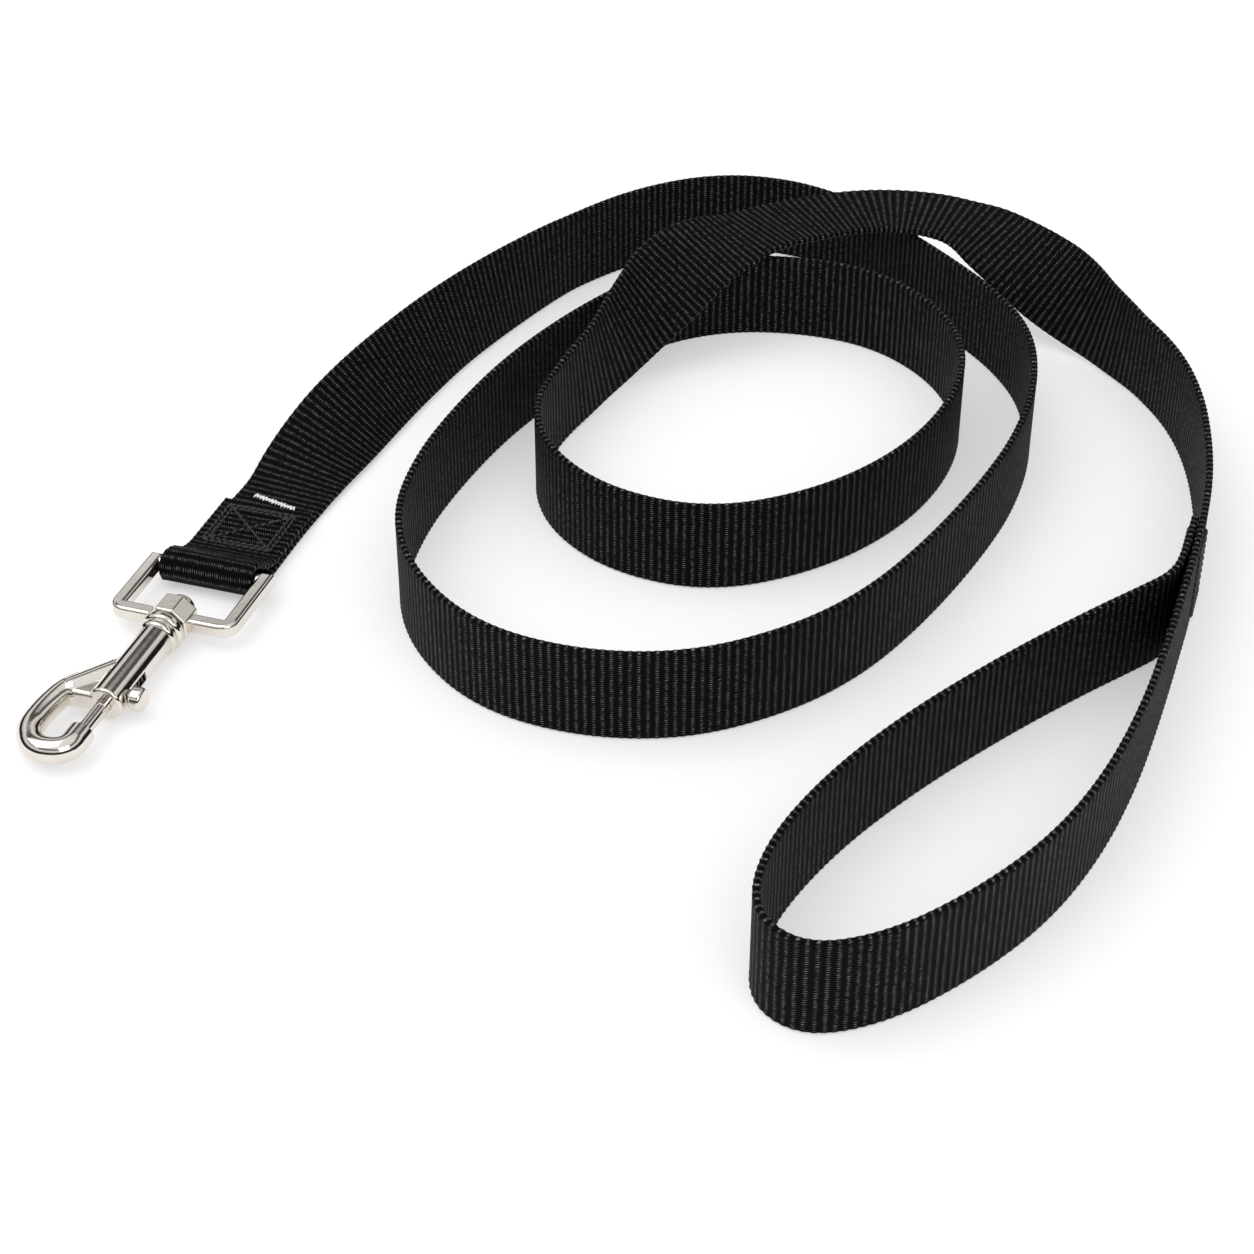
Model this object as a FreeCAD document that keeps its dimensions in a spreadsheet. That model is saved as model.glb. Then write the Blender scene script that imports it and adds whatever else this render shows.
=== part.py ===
import FreeCAD, Part
import math
import os
from FreeCAD import Placement, Rotation, Vector

# A flat webbing training leash, lying coiled on its edge, with a swivel bolt snap.
# Frame: +X along the snap from hook to strap, +Z up, the floor at z = 0, millimetres.

SIZES = [
    ("webbing_width", 25.4), ("webbing_thickness", 1.8), ("layer_gap", 0.2),
    ("snap_side", 111), ("axis_height", 5.5), ("strap_bar_place", -59),
    ("frame_length", 21.5), ("frame_side_gap", 0.6), ("frame_bar", 3.8), ("frame_corner", 4.2),
    ("frame_edge", 1), ("fold_gap", 0.3), ("tail_length", 35), ("fold_run", 13), ("fold_lead", 2),
    ("hub_size", 5.8), ("hub_length", 7), ("hub_edge", 0.6), ("swivel_gap", 0.3), ("shank_radius", 1.6),
    ("shank_clearance", 0.06), ("rivet_head_radius", 3.5), ("rivet_head_height", 3),
    ("rivet_head_edge", 1.3), ("collar_radius", 5.5), ("collar_length", 3), ("small_collar_radius", 5),
    ("small_collar_length", 2.6), ("collar_edge", 1.1), ("barrel_radius", 4.4), ("barrel_length", 27),
    ("barrel_edge", 0.8), ("bore_radius", 2.6), ("mouth_length", 2), ("end_wall", 1.5),
    ("bolt_radius", 1.8), ("bolt_clearance", 0.08), ("bolt_reach", 12.3), ("bolt_tip_edge", 0.4),
    ("piston_length", 6.6), ("bolt_travel", 7.5), ("seat_gap", 0.15),
    ("stud_radius", 1.1), ("slot_gap", 0.2), ("slot_lead", 2.4), ("knob_radius", 3),
    ("knob_height", 3.4), ("knob_edge", 1), ("knob_lift", 0.6), ("hook_rod_radius", 3.2),
    ("web_half_height", 2.6), ("web_edge", 1.2),
    ("spring_wire_radius", 0.3), ("spring_turns", 9), ("spring_side_gap", 0.25),
    ("thread_radius", 0.3), ("box_inset", 3.2), ("snap_box_length", 17), ("tail_margin", 3),
    ("grip_box_length", 11), ("grip_box_middle", 7.1), ("tack_place", 5), ("tack_teeth", 7),
    ("tack_depth", 2.4), ("tack_inset", 5.7), ("tack_lift", 0.4), ("grip_slack", 0.2),
    ("seat_length", 6), ("cut_margin", 10), ("bore_margin", 1), ("spring_end_gap", 0.05),
]

# The webbing's stretches, from the snap to the end of the hand loop. Each has its points of the
# mid-width line: x, y, height, and lean in degrees, 0 standing on its edge and 90 lying flat.
# A stretch ends at the first point of the next.
STRETCHES = [
    ("webbing_lead_run", [
        (-46, 111, 0.9, 90), (-27, 111, 0.9, 90), (-12, 109.8, 1.25, 90), (-1.5, 108.7, 4.2, 76),
        (18.4, 104.4, 9, 50), (39.8, 100, 11.3, 34), (67.4, 94, 12.4, 20), (94.6, 85.3, 12.8, 10),
        (120.2, 75.5, 12.7, 0), (143.1, 61.2, 12.7, 0), (158.8, 42.1, 12.7, 0),
    ]),
    ("webbing_coil", [
        (162.7, 20.3, 12.7, 0), (156.2, -1.8, 12.7, 0), (141.5, -21.3, 12.7, 0),
        (126.5, -39.8, 12.7, 0), (110.9, -56.5, 12.7, 0), (91.8, -69, 12.7, 0), (66.2, -75, 12.7, 0),
        (39.3, -75.5, 12.7, 0), (12.7, -71.5, 12.7, 0), (-16.9, -64.4, 12.7, 0), (-43.1, -55, 12.7, 0),
        (-63.2, -41.6, 12.7, 0), (-80.2, -21.8, 12.7, 0), (-87.3, 3.2, 12.7, 0),
        (-84.2, 29.4, 12.7, 0), (-68.2, 51.5, 12.7, 0), (-46.3, 64.9, 12.7, 0), (-20.3, 69.1, 12.7, 0),
        (6.2, 68.3, 12.7, 0), (35.9, 64.3, 12.7, 0), (66.2, 55.2, 12.7, 0), (92.4, 42.6, 12.7, 0),
        (108.7, 24.8, 12.7, 0), (115.1, 1.7, 12.7, 0), (113.1, -21.1, 12.7, 0), (98.7, -41.5, 12.7, 0),
        (78.3, -53.4, 12.7, 0), (50.8, -56, 12.7, 0), (21.1, -48.8, 12.7, 0), (-4, -32.8, 12.7, 0),
        (-20.9, -9.9, 12.7, 0), (-20.1, 16.6, 12.7, 0), (-7, 37.7, 12.7, 0),
    ]),
    ("webbing_crossover", [
        (13.3, 49.6, 12.7, 0),
        (35.6, 50.1, 12.7, 0), (57.7, 45.6, 14.2, 6), (79.1, 39.8, 20.5, 26), (99.2, 31.2, 29.2, 64),
        (117.8, 19.4, 29.3, 90), (134.9, 3.9, 28.4, 90), (146.3, -15, 28.4, 90),
        (146.9, -37.9, 28.2, 88), (140.1, -55.7, 22.6, 62), (134.5, -70.2, 16.8, 34),
        (125.2, -83.4, 13.5, 11),
    ]),
    ("webbing_handle_run", [
        (110.9, -97.3, 12.7, 0), (94.4, -109.4, 12.7, 0), (74.1, -117.9, 12.7, 0),
        (50.6, -123.4, 12.7, 0), (28.5, -126.4, 12.7, 0), (3.5, -127.1, 12.7, 0),
        (-17.7, -126.7, 12.7, 0),
    ]),
    ("webbing_handle_loop", [
        (-38.9, -126.2, 12.7, 0), (-64.5, -125, 12.7, 0), (-92, -121.3, 12.7, 0),
        (-117.6, -113.9, 12.7, 0), (-140.5, -101.4, 12.7, 0), (-158.3, -87.2, 12.7, 0),
        (-166.9, -72.1, 12.7, 0), (-159.5, -59.2, 12.7, 0), (-139.3, -56.8, 12.7, 0),
        (-111.8, -63.6, 12.7, 0), (-83.4, -76.5, 12.7, 0), (-54.8, -93.5, 12.7, 0),
        (-34, -107.6, 12.7, 0), (-21, -117.2, 12.7, 0), (-12.5, -123.2, 12.7, 0),
        (-3, -124.9, 12.7, 0), (14, -124.9, 12.7, 0),
    ]),
]
ROUTE = [point for label, points in STRETCHES for point in points]
STANDING_HEIGHT = 12.7
HUB_SIDES = 8
UP = Vector(0, 0, 1)
# Middle line of the hook's rod: distance ahead of the barrel's mouth, and to the left of the axis.
HOOK_LINE = [(-17, 0), (-10.5, 4.2), (-3, 11.2), (6, 12.6), (14.2, 12.4), (20.2, 7.4), (18.4, 0), (11.3, 0)]
# The shoulder between the barrel and the rod, in the same terms: the ends of its tapered round, with
# a radius each, and the outline of the web that fills its corner.
SHOULDER_ROUND = [(-11.5, 2.2, 4.1), (-2.6, 9.4, 3.7)]
SHOULDER = [(-12.5, 1), (-12.5, 3), (-4.5, 10.5), (-1.2, 10.8), (0.4, 8.6), (0.4, 3.4), (-1, 1)]
SHARE_OF_RUN = 0.45

doc = FreeCAD.newDocument("training_leash")
sheet = doc.addObject("Spreadsheet::Sheet", "sizes")
for row, (alias, number) in enumerate(SIZES, start=1):
    sheet.set("A%d" % row, alias)
    sheet.set("B%d" % row, str(number))
    sheet.setAlias("B%d" % row, alias)
doc.recompute()
NODES = []


def size(alias):
    """A driving dimension, read from the sheet."""
    return float(sheet.get(alias))


def bind(thing, **formulas):
    """Tie properties of an object to the sheet. A dot in a property's path is written as two underscores."""
    for name, formula in formulas.items():
        words = formula.split(" ")
        text = " ".join("sizes." + w if w.replace("_", "").isalpha() and w not in ("mm", "deg") else w for w in words)
        thing.setExpression(name.replace("__", "."), text)
    return thing


def place(thing, turn=None, **at):
    """Put an object at formulas for x, y and z, after a fixed turn (axis, degrees)."""
    if turn:
        thing.Placement = Placement(Vector(0, 0, 0), Rotation(Vector(*turn[0]), turn[1]))
    for axis, formula in at.items():
        bind(thing, **{"Placement__Base__" + axis: formula})
    return thing


TO_X = ((0, 1, 0), 90)
TO_MINUS_Y = ((1, 0, 0), 90)


def rod(name, radius, length, x, turn=TO_X, y="snap_side", z="axis_height"):
    """A cylinder that starts at x and runs along +X, or along the turn given."""
    made = doc.addObject("Part::Cylinder", name)
    bind(made, Radius=radius, Height=length)
    return place(made, turn, x=x, y=y, z=z)


def block(name, length, width, height, x, y, z):
    """A box with its low corner at x, y, z."""
    made = doc.addObject("Part::Box", name)
    bind(made, Length=length, Width=width, Height=height)
    return place(made, x=x, y=y, z=z)


def cut(name, base, tool):
    made = doc.addObject("Part::Cut", name)
    made.Base = base
    made.Tool = tool
    return made


def fuse(name, *pieces):
    made = doc.addObject("Part::MultiFuse", name)
    made.Shapes = list(pieces)
    return made


def rounded(name, base, radius, choose):
    """Fillet the edges of base that the test picks out."""
    doc.recompute()
    made = doc.addObject("Part::Fillet", name)
    made.Base = base
    picked = [i + 1 for i, edge in enumerate(base.Shape.Edges) if choose(edge)]
    made.Edges = [(i, radius, radius) for i in picked]
    return made


def node(thing, label):
    """Name a finished sub-part; the label names its file."""
    thing.Label = label
    NODES.append(thing)
    return thing


def feature(label, shape, placement=Placement()):
    """A sub-part whose shape is worked out here from the sheet's sizes."""
    made = doc.addObject("Part::Feature", label)
    made.Shape = shape
    made.Placement = placement
    return node(made, label)


def whole_circle(edge):
    return edge.isClosed()


def at_x(edge, x):
    """True for a whole circle square to X at x."""
    box = edge.BoundBox
    return abs(box.XMin - x) < 1e-4 and abs(box.XMax - x) < 1e-4


# Places along the snap's axis, all from the strap bar.
HUB_MIDDLE = "strap_bar_place - frame_length"
HUB_BACK = HUB_MIDDLE + " + hub_length / 2"
HUB_FRONT = HUB_MIDDLE + " - hub_length / 2"
COLLAR_BACK = HUB_FRONT + " - swivel_gap"
COLLAR_FRONT = COLLAR_BACK + " - collar_length"
BARREL_BACK = COLLAR_FRONT + " - small_collar_length"
BARREL_MOUTH = BARREL_BACK + " - barrel_length"
PISTON_FRONT = BARREL_MOUTH + " + mouth_length + bolt_clearance"
PISTON_BACK = PISTON_FRONT + " + piston_length"
CHAMBER_BACK = BARREL_BACK + " - end_wall"
STUD_PLACE = PISTON_FRONT + " + slot_lead"


def number(formula):
    """Value of one of the place formulas above."""
    words = formula.split(" ")
    total, sign, i = 0.0, 1, 0
    while i < len(words):
        if words[i] in "+-":
            sign = 1 if words[i] == "+" else -1
            i += 1
            continue
        value = size(words[i])
        if i + 2 < len(words) and words[i + 1] == "/":
            value /= float(words[i + 2])
            i += 2
        total += sign * value
        sign = 1
        i += 1
    return total


# Swivel eye: a rectangular frame with a faceted hub.
frame_outer = block(
    "frame_outer", "frame_length + frame_bar", "webbing_width + 2 * frame_side_gap + 2 * frame_bar",
    "frame_bar", HUB_MIDDLE + " - frame_bar / 2",
    "snap_side - webbing_width / 2 - frame_side_gap - frame_bar", "axis_height - frame_bar / 2")
frame_inner = block(
    "frame_inner", "frame_length - frame_bar", "webbing_width + 2 * frame_side_gap",
    "frame_bar * 2", HUB_MIDDLE + " + frame_bar / 2",
    "snap_side - webbing_width / 2 - frame_side_gap", "axis_height - frame_bar")
bar_space = block(
    "bar_space", "frame_bar * 2", "webbing_width + 2 * frame_side_gap", "frame_bar * 2",
    "strap_bar_place - frame_bar", "snap_side - webbing_width / 2 - frame_side_gap",
    "axis_height - frame_bar")
frame_window = fuse("frame_window", frame_inner, bar_space)
frame_open = cut("frame_open", frame_outer, frame_window)
frame_rounded = rounded(
    "frame_rounded", frame_open, size("frame_corner"),
    lambda edge: edge.BoundBox.ZLength > size("frame_bar") - 0.01
    and edge.BoundBox.XMax < number(HUB_MIDDLE) and edge.BoundBox.XLength < 0.01)
frame_soft = rounded(
    "frame_soft", frame_rounded, size("frame_edge"),
    lambda edge: edge.BoundBox.ZLength < 0.01 and edge.Length > 1)
strap_bar = rod(
    "strap_bar", "frame_bar / 2", "webbing_width + 2 * frame_side_gap + frame_bar", "strap_bar_place",
    turn=TO_MINUS_Y, y="snap_side + webbing_width / 2 + frame_side_gap + frame_bar / 2")
hub = doc.addObject("Part::Prism", "hub")
hub.Polygon = HUB_SIDES
bind(hub, Circumradius="hub_size", Height="hub_length")
hub.Placement.Rotation = Rotation(Vector(*TO_X[0]), TO_X[1]) * Rotation(UP, 180 / HUB_SIDES)
place(hub, x=HUB_FRONT, y="snap_side", z="axis_height")
hub_soft = rounded("hub_soft", hub, size("hub_edge"), lambda edge: True)
eye_solid = fuse("eye_solid", frame_soft, strap_bar, hub_soft)
hub_bore = rod("hub_bore", "shank_radius + shank_clearance", "hub_length + 2 * bore_margin",
               HUB_FRONT + " - bore_margin")
node(cut("eye", eye_solid, hub_bore), "swivel_eye")

# Hook body: collars, barrel and hook rod, bored for the bolt and the rivet's shank.
collar = rod("collar", "collar_radius", "collar_length", COLLAR_FRONT)
collar_soft = rounded("collar_soft", collar, size("collar_edge"), whole_circle)
small_collar = rod("small_collar", "small_collar_radius", "small_collar_length", BARREL_BACK)
small_collar_soft = rounded(
    "small_collar_soft", small_collar, size("collar_edge"), whole_circle)
barrel = rod("barrel", "barrel_radius", "barrel_length + collar_length", BARREL_MOUTH)
barrel_soft = rounded(
    "barrel_soft", barrel, size("barrel_edge"), lambda edge: at_x(edge, number(BARREL_MOUTH)))


def tangent_path(points, share=SHARE_OF_RUN):
    """Straight runs joined by arcs, each touching its two runs. Gives the edges' points and the radii.

    Each item is ("run", start, end) or ("arc", start, middle, end, corner index)."""
    runs = [(b - a).Length for a, b in zip(points, points[1:])]
    items, radii, here = [], [], points[0]
    for i in range(1, len(points) - 1):
        reach = share * min(runs[i - 1], runs[i])
        back = (points[i - 1] - points[i]).normalize()
        ahead = (points[i + 1] - points[i]).normalize()
        turn = math.pi - back.getAngle(ahead)
        start, end = points[i] + back * reach, points[i] + ahead * reach
        radius = reach / math.tan(turn / 2)
        toward = (back + ahead).normalize()
        centre = points[i] + toward * (radius / math.cos(turn / 2))
        items.append(("run", here, start))
        items.append(("arc", start, centre - toward * radius, end, i))
        radii.append(radius)
        here = end
    items.append(("run", here, points[-1]))
    return items, radii


def path_wire(items):
    edges = []
    for item in items:
        if item[0] == "run":
            edges.append(Part.LineSegment(item[1], item[2]).toShape())
        else:
            edges.append(Part.Arc(item[1], item[2], item[3]).toShape())
    return Part.Wire(edges)


hook_items, hook_radii = tangent_path([
    Vector(number(BARREL_MOUTH) - ahead, size("snap_side") + side, size("axis_height"))
    for ahead, side in HOOK_LINE])
hook_wire = path_wire(hook_items)
hook_start = hook_items[0][1]
hook_heading = (hook_items[0][2] - hook_start).normalize()
hook_section = Part.Wire([Part.Circle(hook_start, hook_heading, size("hook_rod_radius")).toShape()])
hook_rod = doc.addObject("Part::Feature", "hook_rod")
hook_rod.Shape = hook_wire.makePipeShell([hook_section], True, False)

bore = rod("bore", "bore_radius", "barrel_length - end_wall - mouth_length",
           BARREL_MOUTH + " + mouth_length")
mouth_bore = rod("mouth_bore", "bolt_radius + bolt_clearance", "mouth_length + 2 * cut_margin",
                 BARREL_MOUTH + " - cut_margin")
tip_seat = rod("tip_seat", "bolt_radius + seat_gap", "seat_length", BARREL_MOUTH + " - bolt_reach")
shank_hole = rod("shank_hole", "shank_radius", "collar_length + small_collar_length + bore_margin",
                 BARREL_BACK)
slot = block("slot", "bolt_travel + 2 * stud_radius + 2 * slot_gap", "barrel_radius * 2",
             "2 * stud_radius + 2 * slot_gap", STUD_PLACE + " - stud_radius - slot_gap",
             "snap_side - barrel_radius * 2", "axis_height - stud_radius - slot_gap")
shoulder_corners = [
    Vector(number(BARREL_MOUTH) - ahead, size("snap_side") + side, size("axis_height") - size("web_half_height"))
    for ahead, side in SHOULDER]
shoulder = doc.addObject("Part::Feature", "shoulder")
shoulder.Shape = Part.Face(Part.makePolygon(shoulder_corners + shoulder_corners[:1])).extrude(
    UP * 2 * size("web_half_height"))
shoulder_soft = rounded(
    "shoulder_soft", shoulder, size("web_edge"),
    lambda edge: edge.BoundBox.ZLength < 0.01 and edge.BoundBox.XMin < number(BARREL_MOUTH))
round_start, round_end = [
    Vector(number(BARREL_MOUTH) - ahead, size("snap_side") + side, size("axis_height"))
    for ahead, side, radius in SHOULDER_ROUND]
start_radius, end_radius = [radius for ahead, side, radius in SHOULDER_ROUND]
round_run = round_end - round_start
shoulder_round = doc.addObject("Part::Feature", "shoulder_round")
shoulder_round.Shape = Part.makeCone(
    start_radius, end_radius, round_run.Length, round_start, round_run)
shoulder_ball = doc.addObject("Part::Feature", "shoulder_ball")
shoulder_ball.Shape = Part.makeSphere(end_radius, round_end)
hook_solid = fuse(
    "hook_solid", collar_soft, small_collar_soft, barrel_soft, hook_rod, shoulder_soft,
    shoulder_round, shoulder_ball)
hollows = fuse("hollows", bore, mouth_bore, tip_seat, shank_hole, slot)
node(cut("hook", hook_solid, hollows), "hook_body")

# Rivet: the shank is pressed into the collars, the head turns against the hub.
shank = rod("shank", "shank_radius",
            "collar_length + small_collar_length + hub_length + 2 * swivel_gap", BARREL_BACK)
head = rod("head", "rivet_head_radius", "rivet_head_height", HUB_BACK + " + swivel_gap")
head_soft = rounded(
    "head_soft", head, size("rivet_head_edge"),
    lambda edge: at_x(edge, number(HUB_BACK) + size("swivel_gap") + size("rivet_head_height")))
node(fuse("rivet", shank, head_soft), "swivel_rivet")

# Bolt: a rod that closes the hook, with a wider piston inside the barrel.
bolt_rod = rod("bolt_rod", "bolt_radius", "bolt_reach + mouth_length + piston_length",
               BARREL_MOUTH + " - bolt_reach + seat_gap")
bolt_rod_soft = rounded(
    "bolt_rod_soft", bolt_rod, size("bolt_tip_edge"),
    lambda edge: at_x(edge, number(BARREL_MOUTH) - size("bolt_reach") + size("seat_gap")))
piston = rod("piston", "bore_radius - bolt_clearance", "piston_length", PISTON_FRONT)
stud_hole = rod("stud_hole", "stud_radius", "bore_radius * 2", STUD_PLACE, turn=TO_MINUS_Y)
node(cut("bolt", fuse("bolt_solid", bolt_rod_soft, piston), stud_hole), "bolt")

# Thumb stud: a pin in the piston with a rounded knob outside the slot.
stud_pin = rod("stud_pin", "stud_radius", "barrel_radius + knob_lift + knob_height / 2", STUD_PLACE,
               turn=TO_MINUS_Y)
knob = rod("knob", "knob_radius", "knob_height", STUD_PLACE, turn=TO_MINUS_Y,
           y="snap_side - barrel_radius - knob_lift")
knob_soft = rounded("knob_soft", knob, size("knob_edge"), whole_circle)
node(fuse("stud", stud_pin, knob_soft), "thumb_stud")

# Spring: one wire wound between the piston and the end of the chamber.
spring_wire = size("spring_wire_radius")
spring_start = number(PISTON_BACK) + spring_wire + size("spring_end_gap")
spring_end = number(CHAMBER_BACK) - spring_wire - size("spring_end_gap")
spring_radius = size("bore_radius") - size("spring_side_gap") - spring_wire
spring_line = Part.makeHelix(
    (spring_end - spring_start) / size("spring_turns"), spring_end - spring_start, spring_radius)
spring_section = Part.Wire([
    Part.Circle(Vector(spring_radius, 0, 0), Vector(0, 1, 0), spring_wire).toShape()])
spring = spring_line.makePipeShell([spring_section], True, True)
spring_place = Placement(
    Vector(spring_start, size("snap_side"), size("axis_height")), Rotation(Vector(0, 1, 0), 90))
feature("bolt_spring", spring, spring_place)

# Webbing.
HALF_WIDTH = size("webbing_width") / 2
HALF_THICK = size("webbing_thickness") / 2


def outline_solid(items, low, high, plane_up=UP):
    """A flat strip of the webbing's thickness along a plane path, raised along plane_up."""
    sides = []
    for hand in (1, -1):
        edges = []
        for item in items:
            moved = [offset_point(item, k, hand, plane_up) for k in (1, -1)]
            if item[0] == "run":
                edges.append(Part.LineSegment(moved[0], moved[1]).toShape())
            else:
                middle = offset_middle(item, hand, plane_up)
                edges.append(Part.Arc(moved[0], middle, moved[1]).toShape())
        sides.append(edges)
    left, right = sides
    first = Part.LineSegment(right[0].Vertexes[0].Point, left[0].Vertexes[0].Point).toShape()
    last = Part.LineSegment(left[-1].Vertexes[-1].Point, right[-1].Vertexes[-1].Point).toShape()
    wire = Part.Wire(Part.__sortEdges__([first] + left + [last] + right))
    face = Part.Face(wire)
    face.translate(plane_up * low)
    return face.extrude(plane_up * (high - low))


def headings(item):
    """Directions of travel at the start and at the end of a run or arc."""
    if item[0] == "run":
        heading = (item[2] - item[1]).normalize()
        return heading, heading
    start, middle, end = item[1:4]
    chord = (end - start).normalize()
    rise = middle - (start + end) * 0.5
    half = (end - start).Length / 2
    # The half turn of the arc, from its rise over its half chord.
    angle = 2 * math.atan2(rise.Length, half)
    bulge = Vector(rise).normalize()
    begin = chord * math.cos(angle) + bulge * math.sin(angle)
    finish = chord * math.cos(angle) - bulge * math.sin(angle)
    return begin, finish


def offset_point(item, which, hand, plane_up):
    heading = headings(item)[0 if which == 1 else 1]
    point = item[1] if which == 1 else (item[2] if item[0] == "run" else item[3])
    return point + plane_up.cross(heading) * (hand * HALF_THICK)


def offset_middle(item, hand, plane_up):
    chord = (item[3] - item[1]).normalize()
    return item[2] + plane_up.cross(chord) * (hand * HALF_THICK)


def section_at(point, heading, lean):
    """The webbing's rectangular section at a point of its mid-width line."""
    left = UP.cross(heading).normalize()
    tilt = math.radians(lean)
    across = left * math.sin(tilt) + UP * math.cos(tilt)
    across = (across - heading * across.dot(heading)).normalize()
    through = heading.cross(across)
    corners = [point + across * (a * HALF_WIDTH) + through * (b * HALF_THICK)
               for a, b in ((-1, -1), (1, -1), (1, 1), (-1, 1))]
    return Part.makePolygon(corners + corners[:1])


def stations(items, leans, first):
    """Sections of a leaning stretch: at each arc's start, middle and end."""
    made = []
    for item in items:
        begin, finish = headings(item)
        if item[0] == "run":
            made.append((item[1], begin))
            continue
        made.append((item[2], (begin + finish).normalize()))
    made.append((items[-1][2], headings(items[-1])[1]))
    lengths = [0.0]
    for a, b in zip(made, made[1:]):
        lengths.append(lengths[-1] + (b[0] - a[0]).Length)
    marks, values = [0.0], [leans[0]]
    for i, item in enumerate(items):
        if item[0] == "arc":
            marks.append(lengths[i])
            values.append(leans[item[4] - first])
    marks.append(lengths[-1])
    values.append(leans[-1])
    sections = []
    for (point, heading), along in zip(made, lengths):
        k = max(i for i in range(len(marks)) if marks[i] <= along + 1e-6)
        k = min(k, len(marks) - 2)
        part = (along - marks[k]) / max(marks[k + 1] - marks[k], 1e-6)
        sections.append(section_at(point, heading, values[k] + (values[k + 1] - values[k]) * part))
    return sections


route_points = [Vector(x, y, z) for x, y, z, lean in ROUTE]
route_leans = [lean for x, y, z, lean in ROUTE]
route_items, route_radii = tangent_path(route_points)
print("smallest radii of the webbing's arcs:", [round(r, 1) for r in sorted(route_radii)[:6]])


def stretch_items(first, last):
    """The runs and arcs from the middle of one run of the route to the middle of another."""
    chosen = []
    for i, item in enumerate(route_items):
        run = i // 2
        if item[0] == "arc" and first < item[4] <= last:
            chosen.append(item)
        elif item[0] == "run" and first <= run <= last:
            start, end = item[1], item[2]
            if run == first and first > 0:
                start = (start + end) * 0.5
            if run == last and last < len(ROUTE) - 1:
                end = (item[1] + item[2]) * 0.5
            chosen.append(("run", start, end))
    return chosen


webbing_length = sum((item[2] - item[1]).Length for item in route_items if item[0] == "run")
for item in route_items:
    if item[0] == "arc":
        webbing_length += Part.Arc(item[1], item[2], item[3]).length()
first = 0
for label, points in STRETCHES:
    last = min(first + len(points), len(ROUTE) - 1)
    items = stretch_items(first, last)
    leans = route_leans[first:last + 1]
    standing = all(
        point.z == STANDING_HEIGHT and lean == 0
        for point, lean in zip(route_points[first:last + 2], route_leans[first:last + 2]))
    if standing:
        shape = outline_solid(items, -HALF_WIDTH, HALF_WIDTH)
    else:
        before = (leans[0] + leans[1]) / 2 if first else leans[0]
        after = (leans[-1] + route_leans[min(last + 1, len(ROUTE) - 1)]) / 2
        shape = Part.makeLoft(stations(items, [before] + leans[1:] + [after], first), True, True)
    feature(label, shape)
    length = sum(
        (i[2] - i[1]).Length if i[0] == "run" else Part.Arc(i[1], i[2], i[3]).length() for i in items)
    expected = length * 4 * HALF_WIDTH * HALF_THICK
    print("%s: length %.1f, volume %.0f against %.0f" % (label, length, shape.Volume, expected))
    first = last

# Fold round the strap bar: the tail lies on the main run, sewn to it.
bar = Vector(size("strap_bar_place"), 0, size("axis_height"))
turn_radius = size("frame_bar") / 2 + size("fold_gap") + HALF_THICK
joint = route_points[0]
layer_step = size("webbing_thickness") + size("layer_gap")
tail_end = Vector(joint.x + size("tail_length") - size("fold_run"), 0, joint.z + layer_step)
fold_line = [
    Vector(joint.x, 0, joint.z),
    Vector(bar.x + 2 * turn_radius + size("fold_lead"), 0, joint.z),
    Vector(bar.x + turn_radius, 0, bar.z - turn_radius),
    Vector(bar.x - turn_radius, 0, bar.z - turn_radius),
    Vector(bar.x - turn_radius, 0, bar.z + turn_radius),
    Vector(bar.x + turn_radius, 0, bar.z + turn_radius),
    Vector(bar.x + 2 * turn_radius + 2 * size("fold_lead"), 0, tail_end.z),
    tail_end,
]
fold_items, fold_radii = tangent_path(fold_line, 0.499)
print("fold radii:", [round(r, 1) for r in fold_radii])
fold_up = Vector(0, 1, 0)
fold = outline_solid(fold_items, size("snap_side") - HALF_WIDTH, size("snap_side") + HALF_WIDTH, fold_up)
feature("webbing_snap_fold", fold)

THREAD = size("thread_radius")


def thread_mat(middle, along, across, lines, overrun):
    """Threads laid flat on the webbing along lines given as pairs of places (along, across)."""
    up = along.cross(across)
    turn = FreeCAD.Matrix(
        along.x, across.x, up.x, middle.x, along.y, across.y, up.y, middle.y,
        along.z, across.z, up.z, middle.z, 0, 0, 0, 1)
    made = []
    for (x1, y1), (x2, y2) in lines:
        run = Vector(x2 - x1, y2 - y1, 0)
        thread = Part.makeBox(
            run.Length + 2 * overrun, 2 * THREAD, 2 * THREAD, Vector(-overrun, -THREAD, -THREAD))
        thread.Placement = Placement(Vector(x1, y1, 0), Rotation(Vector(1, 0, 0), run))
        made.append(thread)
    return made[0].multiFuse(made[1:]).removeSplitter().transformGeometry(turn)


def box_stitch(middle, along, across, half_length, half_width):
    """A stitched rectangle with its two diagonals, in the plane of along and across."""
    a, b, c, d = [(half_length * i, half_width * j) for i, j in ((-1, -1), (1, -1), (1, 1), (-1, 1))]
    return thread_mat(middle, along, across, [(a, b), (b, c), (c, d), (d, a), (a, c), (b, d)], 0)


box_half_width = HALF_WIDTH - size("box_inset")
snap_box = box_stitch(
    Vector(tail_end.x - size("tail_margin") - size("snap_box_length") / 2, size("snap_side"),
           tail_end.z + HALF_THICK + THREAD),
    Vector(1, 0, 0), Vector(0, 1, 0), size("snap_box_length") / 2, box_half_width)
feature("snap_box_stitching", snap_box)

tail_side = route_points[-1].y
main_side = tail_side - layer_step - size("grip_slack")
grip_boxes = [
    box_stitch(
        Vector(size("grip_box_middle"), side, STANDING_HEIGHT), Vector(1, 0, 0), UP,
        size("grip_box_length") / 2, box_half_width)
    for side in (tail_side + HALF_THICK + THREAD, main_side - HALF_THICK - THREAD)]
feature("handle_box_stitching", Part.makeCompound(grip_boxes))

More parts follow.
